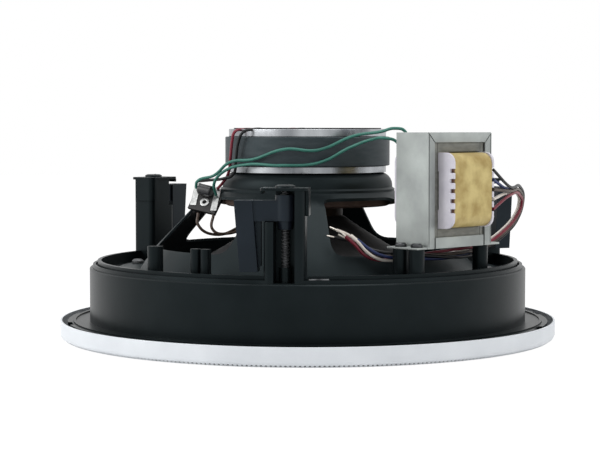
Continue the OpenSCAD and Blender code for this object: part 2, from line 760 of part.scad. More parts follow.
// The rubber surround: a half roll between the cone and the basket
module surround() {
    mid = (surround_in + 0.8 + roll_r) / 2;
    roll = (roll_r - surround_in - 0.8) / 2;
    z = deck_z - land_t;
    arc = [for (a = [180:22.5:360]) [cos(a), sin(a)]];
    color([0.1, 0.1, 0.1])
    rotate_extrude() polygon(concat(
        [[land_r, z]], [for (i = [len(arc) - 1:-1:0]) [mid + roll * arc[i][0], z + roll * arc[i][1]]],
        [[surround_in, z], [surround_in, z + land_t]],
        [for (p = arc) [mid + (roll - land_t) * p[0], z + land_t + (roll - land_t) * p[1]]],
        [[land_r, z + land_t]]));
}

// The ring that clamps the surround's edge
module gasket() {
    color([0.09, 0.09, 0.09])
    translate([0, 0, deck_z - land_t - 2]) difference() {
        cylinder(h = 2, r = land_r);
        translate([0, 0, -1]) cylinder(h = 4, r = roll_r + fit_fixed);
    }
}

// The hollow stem that carries the tweeter in front of the cone
module tweeter_stem() {
    color([0.15, 0.15, 0.15])
    difference() {
        translate([0, 0, tweeter_back]) cylinder(h = seat_z + stem_in - tweeter_back, r = stem_r);
        translate([0, 0, tweeter_back - 1]) cylinder(h = seat_z, r = stem_bore);
    }
}

// The tweeter's cup
module tweeter_housing() {
    color([0.12, 0.12, 0.12])
    translate([0, 0, tweeter_front]) difference() {
        cylinder(h = tweeter_h, r = tweeter_r);
        translate([0, 0, -1]) cylinder(h = tweeter_h + 1 - tweeter_wall, r = tweeter_r - tweeter_wall);
        cylinder(h = tweeter_h + 1, r = stem_bore);
    }
}

// The tweeter's small magnet
module tweeter_magnet() {
    color("silver")
    translate([0, 0, tweeter_front + tweeter_plate_t + 1.5])
        cylinder(h = tweeter_h - tweeter_plate_t - 1.5 - tweeter_wall, r = dome_r + 1);
}

// The tweeter's dome
module tweeter_dome() {
    rise = 5;
    ball = (dome_r * dome_r + rise * rise) / (2 * rise);
    base = tweeter_front + tweeter_plate_t + 0.7;
    color([0.3, 0.3, 0.32])
    difference() {
        intersection() {
            translate([0, 0, base - rise + ball]) sphere(r = ball);
            translate([0, 0, base - rise - 1]) cylinder(h = rise + 1, r = dome_r);
        }
        translate([0, 0, base - rise + ball]) sphere(r = ball - 0.4);
    }
}

// The tweeter's front ring, flared towards the room
module tweeter_plate() {
    color([0.12, 0.12, 0.12])
    translate([0, 0, tweeter_front]) difference() {
        cylinder(h = tweeter_plate_t, r = tweeter_r - tweeter_wall - fit_fixed);
        translate([0, 0, -0.01])
            cylinder(h = tweeter_plate_t + 0.02, r1 = dome_r + 5, r2 = dome_r + fit_pass);
    }
}

// The terminal board of black fibre sheet
module terminal_board() {
    color([0.1, 0.1, 0.1])
    at_board() difference() {
        translate([-board_l / 2, -board_w / 2, 0]) cube([board_l, board_w, board_t]);
        translate([0, 0, -1]) cylinder(h = board_t + 2, d = rivet_d + 2 * fit_fixed);
    }
}

// One tinned tag, with its soldering hole
module terminal_tag(x, low, high) {
    color("gainsboro")
    at_board() translate([x, 0, board_t]) rotate([0, 0, 12]) difference() {
        translate([-tag_w / 2, low, 0]) cube([tag_w, high - low, tag_t]);
        translate([0, high - 2, -1]) cylinder(h = tag_t + 2, d = 1.6, $fn = 24);
    }
}

module terminal_tag_left() {
    terminal_tag(-6.4, -3.5, 10.5);
}

module terminal_tag_right() {
    terminal_tag(6.2, -4, 11);
}

// The hollow rivet that holds the board on its tab
module terminal_rivet() {
    color("gainsboro")
    at_board() difference() {
        union() {
            translate([0, 0, -tab_t - 0.6]) cylinder(h = 0.6, d = rivet_d + 2);
            translate([0, 0, -tab_t - 0.6]) cylinder(h = tab_t + board_t + 1, d = rivet_d);
            translate([0, 0, board_t]) cylinder(h = 0.6, d = rivet_d + 2);
        }
        translate([0, 0, -tab_t - 2]) cylinder(h = tab_t + board_t + 4, d = rivet_d - 1);
    }
}

// The capacitor in the tweeter's feed, lying on the board
module tweeter_capacitor() {
    color([0.16, 0.16, 0.17])
    at_board() translate([-1, board_w / 2, board_t + capacitor_d / 2 + fit_pass])
        rotate([0, 90, 0]) cylinder(h = 8, d = capacitor_d, center = true);
}

// The laminated core with its two windows
module transformer_core() {
    window_l = bobbin_l + 2 * window_gap;
    window_h = (coil_block_h - limb_h) / 2 + window_gap;
    color([0.45, 0.43, 0.4])
    at_transformer() translate([0, 0, core_mid]) difference() {
        cube([core_w, stack, core_h], center = true);
        for (side = [-1, 1]) translate([0, 0, side * (limb_h + window_h) / 2])
            cube([window_l, stack + 2, window_h], center = true);
    }
}

// The galvanised frame: two sides, a top, folded lips and feet
module transformer_frame() {
    side_in = half_w + 0.05;
    top_z = core_low + core_h + 0.05;
    lip_out = half_stack + frame_t + 0.05;
    color("lightgray")
    at_transformer() difference() {
        union() {
            for (side = [-1, 1]) {
                translate([side * (side_in + frame_t / 2), 0, (trafo_low + top_z + frame_t) / 2])
                    cube([frame_t, 2 * lip_out, top_z + frame_t - trafo_low], center = true);
                translate([side * (side_in + foot_l / 2), 0, trafo_low + frame_t / 2])
                    cube([foot_l, 2 * lip_out - 1, frame_t], center = true);
                for (face = [-1, 1])
                    translate([side * (side_in + frame_t - frame_lip / 2),
                        face * (lip_out - frame_t / 2), (trafo_low + top_z + frame_t) / 2])
                        cube([frame_lip, frame_t, top_z + frame_t - trafo_low], center = true);
            }
            translate([0, 0, top_z + frame_t / 2])
                cube([2 * side_in, 2 * lip_out, frame_t], center = true);
            for (face = [-1, 1])
                translate([0, face * (lip_out - frame_t / 2), top_z + frame_t - frame_lip / 2])
                    cube([2 * side_in, frame_t, frame_lip], center = true);
        }
        for (p = foot_posts)
            translate([p[0], p[1], trafo_low - 1]) cylinder(h = frame_t + 2, d = post_bore_d + 0.4);
    }
}

// The strap that closes the frame below the core
module transformer_strap() {
    strap_l = 2 * (half_w + 0.05 + frame_t - frame_lip) - 2;
    color("lightgray")
    at_transformer() union() {
        translate([-strap_l / 2, -half_stack - 0.5, trafo_low])
            cube([strap_l, stack + 0.5, frame_t]);
        translate([-strap_l / 2, -half_stack - 0.05 - frame_t, trafo_low])
            cube([strap_l, frame_t, frame_lip + 0.6]);
    }
}

// Cross-section of the coil at a given inset, in the plane across its length
module coil_section(inset, r) {
    polygon(round_rect(-coil_half_n + inset, coil_half_n - inset,
        -coil_block_h / 2 + inset, coil_block_h / 2 - inset, r));
}

// Hole of the bobbin round the centre limb, grown by a wall
module limb_section(grow) {
    square([stack + 2 * (limb_gap + grow), limb_h + 2 * (limb_gap + grow)], center = true);
}

// Turns a cross-section so that it runs along the coil
module along_coil(from, to) {
    at_transformer() translate([from, 0, core_mid]) rotate([90, 0, 90])
        linear_extrude(to - from) children();
}

// The nylon bobbin: a tube and two flanges, one with notches for the leads
module transformer_bobbin() {
    half = bobbin_l / 2;
    color([0.93, 0.92, 0.95])
    difference() {
        union() {
            along_coil(-half, half) difference() {
                limb_section(bobbin_wall);
                limb_section(0);
            }
            for (side = [-1, 1])
                along_coil(side < 0 ? -half : half - flange_sheet,
                    side < 0 ? -half + flange_sheet : half) difference() {
                    coil_section(0, 5);
                    limb_section(0);
                }
        }
        for (k = [-2:2]) for (side = [-1, 1]) at_transformer()
            translate([side * (half - flange_sheet / 2), -coil_half_n + 1, core_mid + 5 * k])
                cube([flange_sheet + 1, 3, 2], center = true);
    }
}

// The copper winding on the bobbin
module transformer_winding() {
    half = bobbin_l / 2 - flange_sheet;
    color("peru")
    along_coil(-half, half) difference() {
        coil_section(wrap_t + 0.3, 5.5);
        limb_section(bobbin_wall);
    }
}

// The paper wrapped round the winding
module transformer_wrap() {
    half = bobbin_l / 2 - flange_sheet - 0.1;
    color([0.85, 0.74, 0.5])
    along_coil(-half, half) difference() {
        coil_section(0.3, 6);
        coil_section(wrap_t + 0.3, 5.5);
    }
}

// The screws that hold the transformer's feet on the posts
module transformer_screws() {
    color("silver")
    at_transformer() for (p = foot_posts)
        translate([p[0], p[1], 0]) {
            translate([0, 0, post_z - foot_screw_l])
                cylinder(h = foot_screw_l + frame_t + 0.2, d = post_bore_d - 0.1);
            translate([0, 0, post_z + frame_t]) cylinder(h = foot_head_h * 0.6, d = foot_head_d);
            translate([0, 0, post_z + frame_t + foot_head_h * 0.6])
                cylinder(h = foot_head_h * 0.4, d1 = foot_head_d, d2 = foot_head_d * 0.7);
        }
}

module lead_green_1() {
    color([0.3, 0.5, 0.45]) lead(green_1_path, lead_d);
}

module lead_green_2() {
    color([0.3, 0.5, 0.45]) lead(green_2_path, lead_d);
}

module lead_red() {
    color([0.5, 0.15, 0.2]) lead(red_path, lead_d);
}

module lead_black() {
    color([0.08, 0.08, 0.08]) lead(black_path, lead_d);
}

module tinsel_lead_1() {
    color([0.35, 0.22, 0.18]) lead(tinsel_1_path, lead_d);
}

module tinsel_lead_2() {
    color([0.35, 0.22, 0.18]) lead(tinsel_2_path, lead_d);
}

module tap_lead_black() {
    color([0.1, 0.12, 0.13]) lead(tap_path(2, 0.5, -1.3, 15), lead_d);
}

module tap_lead_blue() {
    color([0.15, 0.18, 0.3]) lead(tap_path(1, -0.5, -0.65, 13), lead_d);
}

module tap_lead_white() {
    color([0.85, 0.82, 0.8]) lead(tap_path(-1, -0.5, 0.65, 15), lead_d);
}

module tap_lead_red() {
    color([0.6, 0.2, 0.27]) lead(tap_path(-2, 0.5, 1.3, 14), lead_d);
}

module tap_lead_brown() {
    color([0.4, 0.33, 0.28]) lead(tap_path(0, 0.5, 0, 14), lead_d);
}

grille();
baffle();
clamp_dog(0);  // clamp_dog_1
clamp_dog(1);  // clamp_dog_2
clamp_dog(2);  // clamp_dog_3
clamp_screw(0);  // clamp_screw_1
clamp_screw(1);  // clamp_screw_2
clamp_screw(2);  // clamp_screw_3
clamp_cap(0);  // clamp_cap_1
clamp_cap(1);  // clamp_cap_2
clamp_cap(2);  // clamp_cap_3
cable_anchor();
basket();
basket_screws();
front_plate();
magnet();
back_plate();
rear_label();
voice_coil_former();
voice_coil_winding();
cone();
spider();
surround();
gasket();
tweeter_stem();
tweeter_housing();
tweeter_magnet();
tweeter_dome();
tweeter_plate();
terminal_board();
terminal_tag_left();
terminal_tag_right();
terminal_rivet();
tweeter_capacitor();
transformer_core();
transformer_frame();
transformer_strap();
transformer_bobbin();
transformer_winding();
transformer_wrap();
transformer_screws();
lead_green_1();
lead_green_2();
lead_red();
lead_black();
tinsel_lead_1();
tinsel_lead_2();
tap_lead_black();
tap_lead_blue();
tap_lead_white();
tap_lead_red();
tap_lead_brown();
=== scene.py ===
"""An in-ceiling loudspeaker with a line transformer, lying face down on its grille.

Metres. The origin is at the bottom centre of the grille, and +Z points away from the room.
"""

import math

import bpy
from mathutils import Matrix, Vector


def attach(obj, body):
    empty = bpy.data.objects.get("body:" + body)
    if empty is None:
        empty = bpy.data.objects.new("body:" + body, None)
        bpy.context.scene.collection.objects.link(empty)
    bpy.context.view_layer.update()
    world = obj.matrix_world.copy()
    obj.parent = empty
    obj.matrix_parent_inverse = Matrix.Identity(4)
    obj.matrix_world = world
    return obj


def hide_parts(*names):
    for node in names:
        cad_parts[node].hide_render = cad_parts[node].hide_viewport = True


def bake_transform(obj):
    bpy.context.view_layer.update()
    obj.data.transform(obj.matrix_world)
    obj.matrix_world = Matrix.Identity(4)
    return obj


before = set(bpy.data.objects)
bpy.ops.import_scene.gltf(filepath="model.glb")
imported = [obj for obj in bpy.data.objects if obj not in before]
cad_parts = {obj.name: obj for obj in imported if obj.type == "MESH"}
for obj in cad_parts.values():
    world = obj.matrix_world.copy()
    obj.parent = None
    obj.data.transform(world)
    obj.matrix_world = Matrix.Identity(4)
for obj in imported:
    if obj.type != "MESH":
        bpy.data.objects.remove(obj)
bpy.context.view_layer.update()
bpy.ops.object.select_all(action="DESELECT")

# The camera stands level with the magnet, nearly a metre away, and looks slightly down on the
# speaker.
camera_place = (-0.0041, -0.943, 0.1151)
camera_dip = 3.33
camera_lens = 103.1
sensor_width = 36
bpy.ops.object.camera_add(location=camera_place, rotation=(math.radians(90 - camera_dip), 0, 0))
camera = bpy.context.object
camera.name = "camera"
camera.data.sensor_width = sensor_width
camera.data.lens = camera_lens
bpy.context.scene.camera = camera


# The leads are stranded copper in thin soft plastic, cut and soldered by hand, so each one takes
# its own loose way. The two short brown ones are bare tinsel braid.
def mottled(
    name, dark, light, size, rough, spread=0.06, relief=0.0, grain=1500, stretch=(1, 1, 1), shine=0.5,
    metal=0.0, tint=(1, 1, 1, 1)
):
    """A material that drifts between two colours, with a fine grain in its gloss and relief."""
    material = bpy.data.materials.new(name)
    material.use_nodes = True
    nodes = material.node_tree.nodes
    link = material.node_tree.links.new
    shader = nodes["Principled BSDF"]
    shader.inputs["Metallic"].default_value = metal
    shader.inputs["Specular IOR Level"].default_value = shine
    shader.inputs["Specular Tint"].default_value = tint
    place = nodes.new("ShaderNodeTexCoord")
    turn = nodes.new("ShaderNodeMapping")
    turn.name = "grain direction"
    turn.inputs["Scale"].default_value = stretch
    drift = nodes.new("ShaderNodeTexNoise")
    drift.name = "drift"
    drift.inputs["Scale"].default_value = 1 / size
    drift.inputs["Detail"].default_value = 5
    ramp = nodes.new("ShaderNodeValToRGB")
    ramp.name = "colours"
    darkest, lightest = ramp.color_ramp.elements
    darkest.position = 0.32
    lightest.position = 0.68
    darkest.color = (*dark, 1)
    lightest.color = (*light, 1)
    fine = nodes.new("ShaderNodeTexNoise")
    fine.name = "grain"
    fine.inputs["Scale"].default_value = grain
    fine.inputs["Detail"].default_value = 3
    gloss = nodes.new("ShaderNodeMapRange")
    gloss.name = "gloss"
    gloss.inputs["To Min"].default_value = rough - spread
    gloss.inputs["To Max"].default_value = rough + spread
    bump = nodes.new("ShaderNodeBump")
    bump.name = "relief"
    bump.inputs["Strength"].default_value = relief
    bump.inputs["Distance"].default_value = 0.0002
    link(place.outputs["Object"], turn.inputs["Vector"])
    link(turn.outputs["Vector"], drift.inputs["Vector"])
    link(turn.outputs["Vector"], fine.inputs["Vector"])
    link(drift.outputs["Fac"], ramp.inputs["Fac"])
    link(ramp.outputs["Color"], shader.inputs["Base Color"])
    link(fine.outputs["Fac"], gloss.inputs["Value"])
    link(gloss.outputs["Result"], shader.inputs["Roughness"])
    if relief:
        link(fine.outputs["Fac"], bump.inputs["Height"])
        link(bump.outputs["Normal"], shader.inputs["Normal"])
    return material


def soft_plastic(name, dark, light):
    """The skin of a lead, a little shiny."""
    material = mottled(name, dark, light, size=0.012, rough=0.42, relief=0.15, grain=900, shine=0.25)
    shader = material.node_tree.nodes["Principled BSDF"]
    shader.inputs["Coat Weight"].default_value = 0.1
    shader.inputs["Coat Roughness"].default_value = 0.3
    return material


def dress(piece, material, body=None):
    """Gives a piece its one material and, where one is named, the body that it rides on."""
    piece.data.materials.clear()
    piece.data.materials.append(material)
    if body:
        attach(piece, body)


def pick(piece):
    """Makes one piece the only selected one, and the active one."""
    bpy.ops.object.select_all(action="DESELECT")
    piece.select_set(True)
    bpy.context.view_layer.objects.active = piece


lead_thickness = 0.0016
strand_thickness = 0.001
strand_hidden = 0.001
strand_middle = 0.0015
strand_reach = 0.0038


def lay_lead(name, route, thickness=lead_thickness):
    """A lead as one smooth line through the points of its route."""
    line = bpy.data.curves.new(name, "CURVE")
    line.dimensions = "3D"
    line.bevel_depth = thickness / 2
    line.bevel_resolution = 3
    line.resolution_u = 8
    line.use_fill_caps = True
    spline = line.splines.new("BEZIER")
    spline.bezier_points.add(len(route) - 1)
    for knot, point in zip(spline.bezier_points, route):
        knot.co = point
        knot.handle_left_type = "AUTO"
        knot.handle_right_type = "AUTO"
    piece = bpy.data.objects.new(name, line)
    bpy.context.scene.collection.objects.link(piece)
    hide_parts(name)
    return piece


def bare_end(name, route):
    """The tinned strands that stand out of a lead's cut end."""
    tip = Vector(route[-1])
    way = (tip - Vector(route[-2])).normalized()
    strand_route = [tip - way * strand_hidden, tip + way * strand_middle, tip + way * strand_reach]
    strands = lay_lead(name, strand_route, strand_thickness)
    dress(strands, tinned_strands, "root")


green_plastic = soft_plastic("green lead", (0.026, 0.125, 0.098), (0.046, 0.19, 0.15))
red_plastic = soft_plastic("red lead", (0.13, 0.010, 0.022), (0.21, 0.020, 0.038))
black_plastic = soft_plastic("black lead", (0.004, 0.004, 0.005), (0.008, 0.008, 0.009))
blue_plastic = soft_plastic("blue lead", (0.012, 0.022, 0.082), (0.022, 0.038, 0.13))
white_plastic = soft_plastic("white lead", (0.62, 0.56, 0.50), (0.78, 0.74, 0.68))
brown_plastic = soft_plastic("brown lead", (0.045, 0.032, 0.026), (0.085, 0.062, 0.048))
tinned_strands = mottled(
    "tinned strands", (0.55, 0.50, 0.44), (0.80, 0.76, 0.70),
    size=0.001, rough=0.35, relief=0.5, metal=0.8
)
tinsel_braid = mottled(
    "tinsel braid", (0.045, 0.028, 0.020), (0.11, 0.075, 0.056),
    size=0.001, rough=0.5, relief=0.5
)

green_1_route = [
    (0.0489, -0.0602, 0.096), (0.0503, -0.0615, 0.106), (0.0495, -0.063, 0.112),
    (0.0445, -0.0623, 0.1134), (0.0375, -0.058, 0.1117), (0.024, -0.05, 0.1095),
    (0.005, -0.0473, 0.102), (-0.012, -0.0465, 0.1025), (-0.029, -0.0375, 0.097),
    (-0.041, -0.0305, 0.0955), (-0.0504, -0.021, 0.088), (-0.0597, -0.0158, 0.0845),
    (-0.0602, -0.0139, 0.081),
]
green_2_route = [
    (0.046, -0.0626, 0.088), (0.0465, -0.0623, 0.099), (0.0458, -0.0628, 0.1060),
    (0.0385, -0.0628, 0.1085), (0.034, -0.0585, 0.108), (0.022, -0.051, 0.1035),
    (0.006, -0.0475, 0.0955), (-0.014, -0.0463, 0.094), (-0.032, -0.0365, 0.0943),
    (-0.0445, -0.029, 0.0905), (-0.05, -0.0244, 0.084), (-0.0493, -0.0196, 0.0775),
]
red_route = [
    (-0.002, 0.001, 0.11), (-0.0022, 0.0006, 0.1118), (-0.0045, -0.001, 0.1126),
    (-0.014, -0.0075, 0.1126), (-0.026, -0.0155, 0.1126), (-0.0345, -0.0215, 0.1127),
    (-0.0390, -0.0262, 0.1113), (-0.0402, -0.0262, 0.107), (-0.041, -0.0252, 0.1),
    (-0.0426, -0.022, 0.089), (-0.0459, -0.019, 0.0838), (-0.0486, -0.0174, 0.0808),
]
black_route = [
    (0.002, -0.0015, 0.11), (0.0018, -0.002, 0.1118), (0.0002, -0.0045, 0.1126),
    (-0.010, -0.013, 0.1126), (-0.021, -0.022, 0.1126), (-0.0292, -0.0305, 0.1128),
    (-0.0342, -0.0325, 0.1113), (-0.0368, -0.0308, 0.106), (-0.0382, -0.0287, 0.097),
    (-0.0396, -0.0266, 0.089), (-0.045, -0.0232, 0.0865), (-0.0527, -0.0187, 0.0855),
    (-0.0596, -0.0116, 0.0847),
]
tinsel_1_route = [
    (-0.0589, -0.019, 0.0679), (-0.0589, -0.02, 0.0615), (-0.05, -0.0165, 0.056),
    (-0.036, -0.011, 0.0605), (-0.026, -0.006, 0.068), (-0.0202, -0.0039, 0.0709),
]
tinsel_2_route = [
    (-0.0504, -0.0222, 0.0678), (-0.0508, -0.0234, 0.059), (-0.042, -0.0205, 0.057),
    (-0.032, -0.017, 0.0615), (-0.024, -0.0135, 0.068), (-0.0177, -0.0106, 0.0709),
]
tap_bundle = [
    (0.1035, -0.054, 0.081), (0.112, -0.03, 0.08), (0.1145, -0.021, 0.074),
    (0.112, -0.022, 0.0665), (0.104, -0.028, 0.058), (0.092, -0.0335, 0.0505),
    (0.082, -0.044, 0.0485), (0.072, -0.057, 0.048), (0.0585, -0.069, 0.048),
    (0.0435, -0.08, 0.0483), (0.0354, -0.0825, 0.0493), (0.0299, -0.0825, 0.0518),
    (0.0239, -0.0825, 0.0568), (0.0188, -0.082, 0.0593), (0.0138, -0.0815, 0.0611),
]
tap_exit = Vector((0.09398, -0.0709, 0.08245))
tap_step = 0.005
lane_gap = 0.00175
twist_start = 5
twist_step = math.radians(40)


def tap_route(place, out, down, count):
    """One tap lead's points: from its notch, then round the middle of the twisted bundle."""
    middle = [Vector(point) for point in tap_bundle]
    route = [tap_exit + Vector((0, 0, place * tap_step))]
    side = None
    for i in range(count):
        way = (middle[min(i + 1, len(middle) - 1)] - middle[max(i - 1, 0)]).normalized()
        side = way.cross(Vector((0, 0, 1))) if side is None else side - side.dot(way) * way
        side.normalize()
        twist = Matrix.Rotation(twist_step * max(i - twist_start, 0), 3, way)
        route.append(middle[i] + twist @ (lane_gap * (out * side + down * way.cross(side))))
    return route


tap_black_route = tap_route(place=2, out=0.5, down=-1.3, count=15)
tap_blue_route = tap_route(place=1, out=-0.5, down=-0.65, count=13)
tap_brown_route = tap_route(place=0, out=0.5, down=0, count=14)
tap_white_route = tap_route(place=-1, out=-0.5, down=0.65, count=15)
tap_red_route = tap_route(place=-2, out=0.5, down=1.3, count=14)
fixed_leads = [
    ("lead_green_1", green_1_route, green_plastic, "green_lead", 0.1495),
    ("lead_green_2", green_2_route, green_plastic, "green_lead", 0.1410),
    ("lead_red", red_route, red_plastic, "red_lead", 0.0869),
    ("lead_black", black_route, black_plastic, "black_lead", 0.1029),
    ("tap_lead_black", tap_black_route, black_plastic, "black_lead", 0.2050),
    ("tap_lead_blue", tap_blue_route, blue_plastic, "blue_lead", 0.1870),
    ("tap_lead_white", tap_white_route, white_plastic, "white_lead", 0.1910),
    ("tap_lead_red", tap_red_route, red_plastic, "red_lead", 0.1870),
    ("tap_lead_brown", tap_brown_route, brown_plastic, "brown_lead", 0.1920),
]
for name, route, material, slot, length in fixed_leads:
    lead = lay_lead(name, route)
    dress(lead, material, "root")
    ends = "object" if name.startswith("lead") else "bare"
    if ends == "bare":
        bare_end(name, route)

tinsels = [
    ("tinsel_lead_1", tinsel_1_route, 0.0546),
    ("tinsel_lead_2", tinsel_2_route, 0.0492),
]
for name, route, length in tinsels:
    lead = lay_lead(name, route)
    pick(lead)
    line = lead.data.copy()
    line.bevel_depth = 0
    guide = bpy.data.objects.new("guide", line)
    bpy.context.scene.collection.objects.link(guide)
    bpy.context.view_layer.update()
    thread = guide.to_mesh()
    guide.to_mesh_clear()
    bpy.data.objects.remove(guide)
    bpy.ops.object.convert(target="MESH")
    bpy.ops.object.shade_smooth()
    dress(lead, tinsel_braid)
    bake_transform(lead)


# The grille is a punched steel sheet under white powder paint. Its edge is drawn over a die, and
# the rim grips the snap lugs of the baffle. The sheet and its drawn rim are two meshes.
def choose(piece, kind, test):
    """Goes into edit mode with only those faces or vertices selected that pass the test."""
    pick(piece)
    bpy.ops.object.mode_set(mode="EDIT")
    bpy.ops.mesh.select_mode(type=kind)
    bpy.ops.mesh.select_all(action="DESELECT")
    bpy.ops.object.mode_set(mode="OBJECT")
    for part in piece.data.polygons if kind == "FACE" else piece.data.vertices:
        part.select = test(part)
    bpy.ops.object.mode_set(mode="EDIT")


def face_outwards():
    """Turns all faces of the mesh in edit mode outwards, and goes back to object mode."""
    bpy.ops.mesh.select_all(action="SELECT")
    bpy.ops.mesh.normals_make_consistent(inside=False)
    bpy.ops.object.mode_set(mode="OBJECT")


def first_point(name, place):
    """A new piece of a single point, in edit mode, from which a profile is drawn."""
    bpy.ops.object.select_all(action="DESELECT")
    bpy.ops.mesh.primitive_plane_add(size=0.001, location=(0, 0, 0))
    piece = bpy.context.object
    piece.name = name
    bpy.ops.object.mode_set(mode="EDIT")
    bpy.ops.mesh.select_mode(type="VERT")
    bpy.ops.mesh.select_all(action="SELECT")
    bpy.ops.mesh.merge(type="CENTER")
    bpy.ops.transform.translate(value=place)
    return piece


weld = 0.000004
smooth_limit = math.radians(35)


def turned(name, profile, steps=160):
    """A piece spun round the axis from a line of points, each a radius and a height."""
    radius, height = profile[0]
    piece = first_point(name, (radius, 0, height))
    for last, point in zip(profile, profile[1:]):
        step = (point[0] - last[0], 0, point[1] - last[1])
        bpy.ops.mesh.extrude_region_move(TRANSFORM_OT_translate={"value": step})
    bpy.ops.mesh.select_all(action="SELECT")
    bpy.ops.mesh.spin(steps=steps, angle=2 * math.pi, center=(0, 0, 0), axis=(0, 0, 1))
    bpy.ops.mesh.select_all(action="SELECT")
    bpy.ops.mesh.remove_doubles(threshold=weld)
    face_outwards()
    bpy.ops.object.shade_smooth_by_angle(angle=smooth_limit)
    return piece


def arc(centre, radius, start, end, steps):
    """Points on part of a circle, each a radius from the axis and a height."""
    angles = [math.radians(start + (end - start) * i / steps) for i in range(steps + 1)]
    return [(centre[0] + radius * math.cos(a), centre[1] + radius * math.sin(a)) for a in angles]


white_paint = mottled(
    "white powder paint", (0.64, 0.67, 0.705), (0.72, 0.75, 0.785),
    size=0.03, rough=0.5, relief=0.25
)
hole_shade = mottled(
    "shade in the holes", (0.03, 0.032, 0.034), (0.06, 0.063, 0.066),
    size=0.01, rough=0.8, shine=0.1
)
grille_radius = 0.135
grille_height = 0.010
grille_edge = 0.003
face_radius = grille_radius - grille_edge
sheet = 0.001
sheet_margin = 0.003
buried = 0.00008
hole_pitch = 0.004
hole_radius = 0.00125
hole_margin = 0.009
largest_hole = math.pi * 0.0015**2
rows = 66
bpy.ops.mesh.primitive_grid_add(
    x_subdivisions=rows, y_subdivisions=rows, size=rows * hole_pitch, location=(0, 0, 0)
)
mesh_sheet = bpy.context.object
mesh_sheet.name = "grille_mesh"
choose(mesh_sheet, "FACE", lambda face: face.center.to_2d().length > face_radius - sheet_margin)
bpy.ops.mesh.delete(type="FACE")
bpy.ops.object.mode_set(mode="OBJECT")
choose(mesh_sheet, "VERT", lambda corner: corner.co.to_2d().length < face_radius - hole_margin)
bpy.ops.mesh.bevel(offset=hole_radius, affect="VERTICES", segments=2, profile=0.5)
bpy.ops.object.mode_set(mode="OBJECT")
choose(mesh_sheet, "FACE", lambda face: face.area < largest_hole and len(face.vertices) == 8)
bpy.ops.mesh.delete(type="FACE")
face_outwards()
thick = mesh_sheet.modifiers.new("sheet", "SOLIDIFY")
thick.thickness = sheet - 2 * buried
thick.offset = -1
bpy.ops.object.modifier_apply(modifier=thick.name)
for corner in mesh_sheet.data.vertices:
    corner.co.z += sheet - buried
dress(mesh_sheet, white_paint, "grille_cover")
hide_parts("grille")

rim_width = 0.012
rim_lip = 0.0002
rim_steps = 720
pit_low = 72
pit_high = 38
pit_edge = 0.0001
pit_depth = 0.0004
edge_centre = (face_radius, grille_edge)
rim_line = [(face_radius - rim_width, 0.0)]
rim_line += arc(edge_centre, grille_edge, -90, -pit_low, 2)
rim_line += arc(edge_centre, grille_edge, -pit_high, 0, 3)
rim_line += [(grille_radius, grille_height - rim_lip), (grille_radius - rim_lip, grille_height)]
rim_line += [(grille_radius - sheet, grille_height)]
rim_line += arc(edge_centre, grille_edge - sheet, 0, -90, 5)
rim_line += [(face_radius - rim_width, sheet), (face_radius - rim_width, 0.0)]
rim = turned("grille_rim", rim_line, steps=rim_steps)
dress(rim, white_paint, "grille_cover")
rim.data.materials.append(hole_shade)


def is_pit(face):
    """Every other facet in one row on the rounded edge becomes a small hole."""
    column = math.floor(math.atan2(face.center.y, face.center.x) / (2 * math.pi / rim_steps))
    beyond = face.center.to_2d().length - face_radius
    slope = math.degrees(math.atan2(grille_edge - face.center.z, beyond))
    outside = face.normal.dot(Vector((*face.center.to_2d(), 0))) > 0
    return outside and pit_high < slope < pit_low and column % 2 == 0


choose(rim, "FACE", is_pit)
bpy.ops.mesh.inset(thickness=pit_edge, depth=-pit_depth, use_individual=True)
rim.active_material_index = 1
bpy.ops.object.material_slot_assign()
bpy.ops.object.mode_set(mode="OBJECT")
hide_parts("grille")


# The baffle is one black moulding with a fine eroded skin: flange, drum, stepped rim, deck, three
# clamp towers and the screw posts.
flat_limit = math.radians(2)
edge_limit = math.radians(30)


def softened(node, material, edge, body="root", steps=2):
    """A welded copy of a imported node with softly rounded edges, which takes its place."""
    packed = bpy.data.objects[node]
    piece = bpy.data.objects.new(node + "_soft", packed.data.copy())
    bpy.context.scene.collection.objects.link(piece)
    pick(piece)
    bpy.ops.object.mode_set(mode="EDIT")
    bpy.ops.mesh.select_all(action="SELECT")
    bpy.ops.mesh.remove_doubles(threshold=weld)
    bpy.ops.mesh.dissolve_limited(angle_limit=flat_limit)
    face_outwards()
    bevel = piece.modifiers.new("soft edges", "BEVEL")
    bevel.width = edge
    bevel.segments = steps
    bevel.limit_method = "ANGLE"
    bevel.angle_limit = edge_limit
    bpy.ops.object.modifier_apply(modifier=bevel.name)
    bpy.ops.object.shade_smooth_by_angle(angle=smooth_limit)
    flat = piece.modifiers.new("flat faces", "WEIGHTED_NORMAL")
    flat.keep_sharp = True
    bpy.ops.object.modifier_apply(modifier=flat.name)
    dress(piece, material, body)
    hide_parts(node)
    return piece


cool = (0.74, 0.95, 1.0, 1)
moulding = mottled(
    "black moulding", (0.0030, 0.0045, 0.0052), (0.0058, 0.0080, 0.0090),
    size=0.02, rough=0.34, relief=0.12, grain=1200, shine=0.13, tint=cool
)
softened("baffle", moulding, edge=0.00025)

# The pin that a safety cable hooks on is a dull steel dowel, pressed into the baffle across a
# recess of the rim.
dull_steel = mottled(
    "dull steel", (0.02, 0.021, 0.023), (0.10, 0.104, 0.108),
    size=0.0035, rough=0.4, metal=1
)
softened("cable_anchor", dull_steel, edge=0.0002)

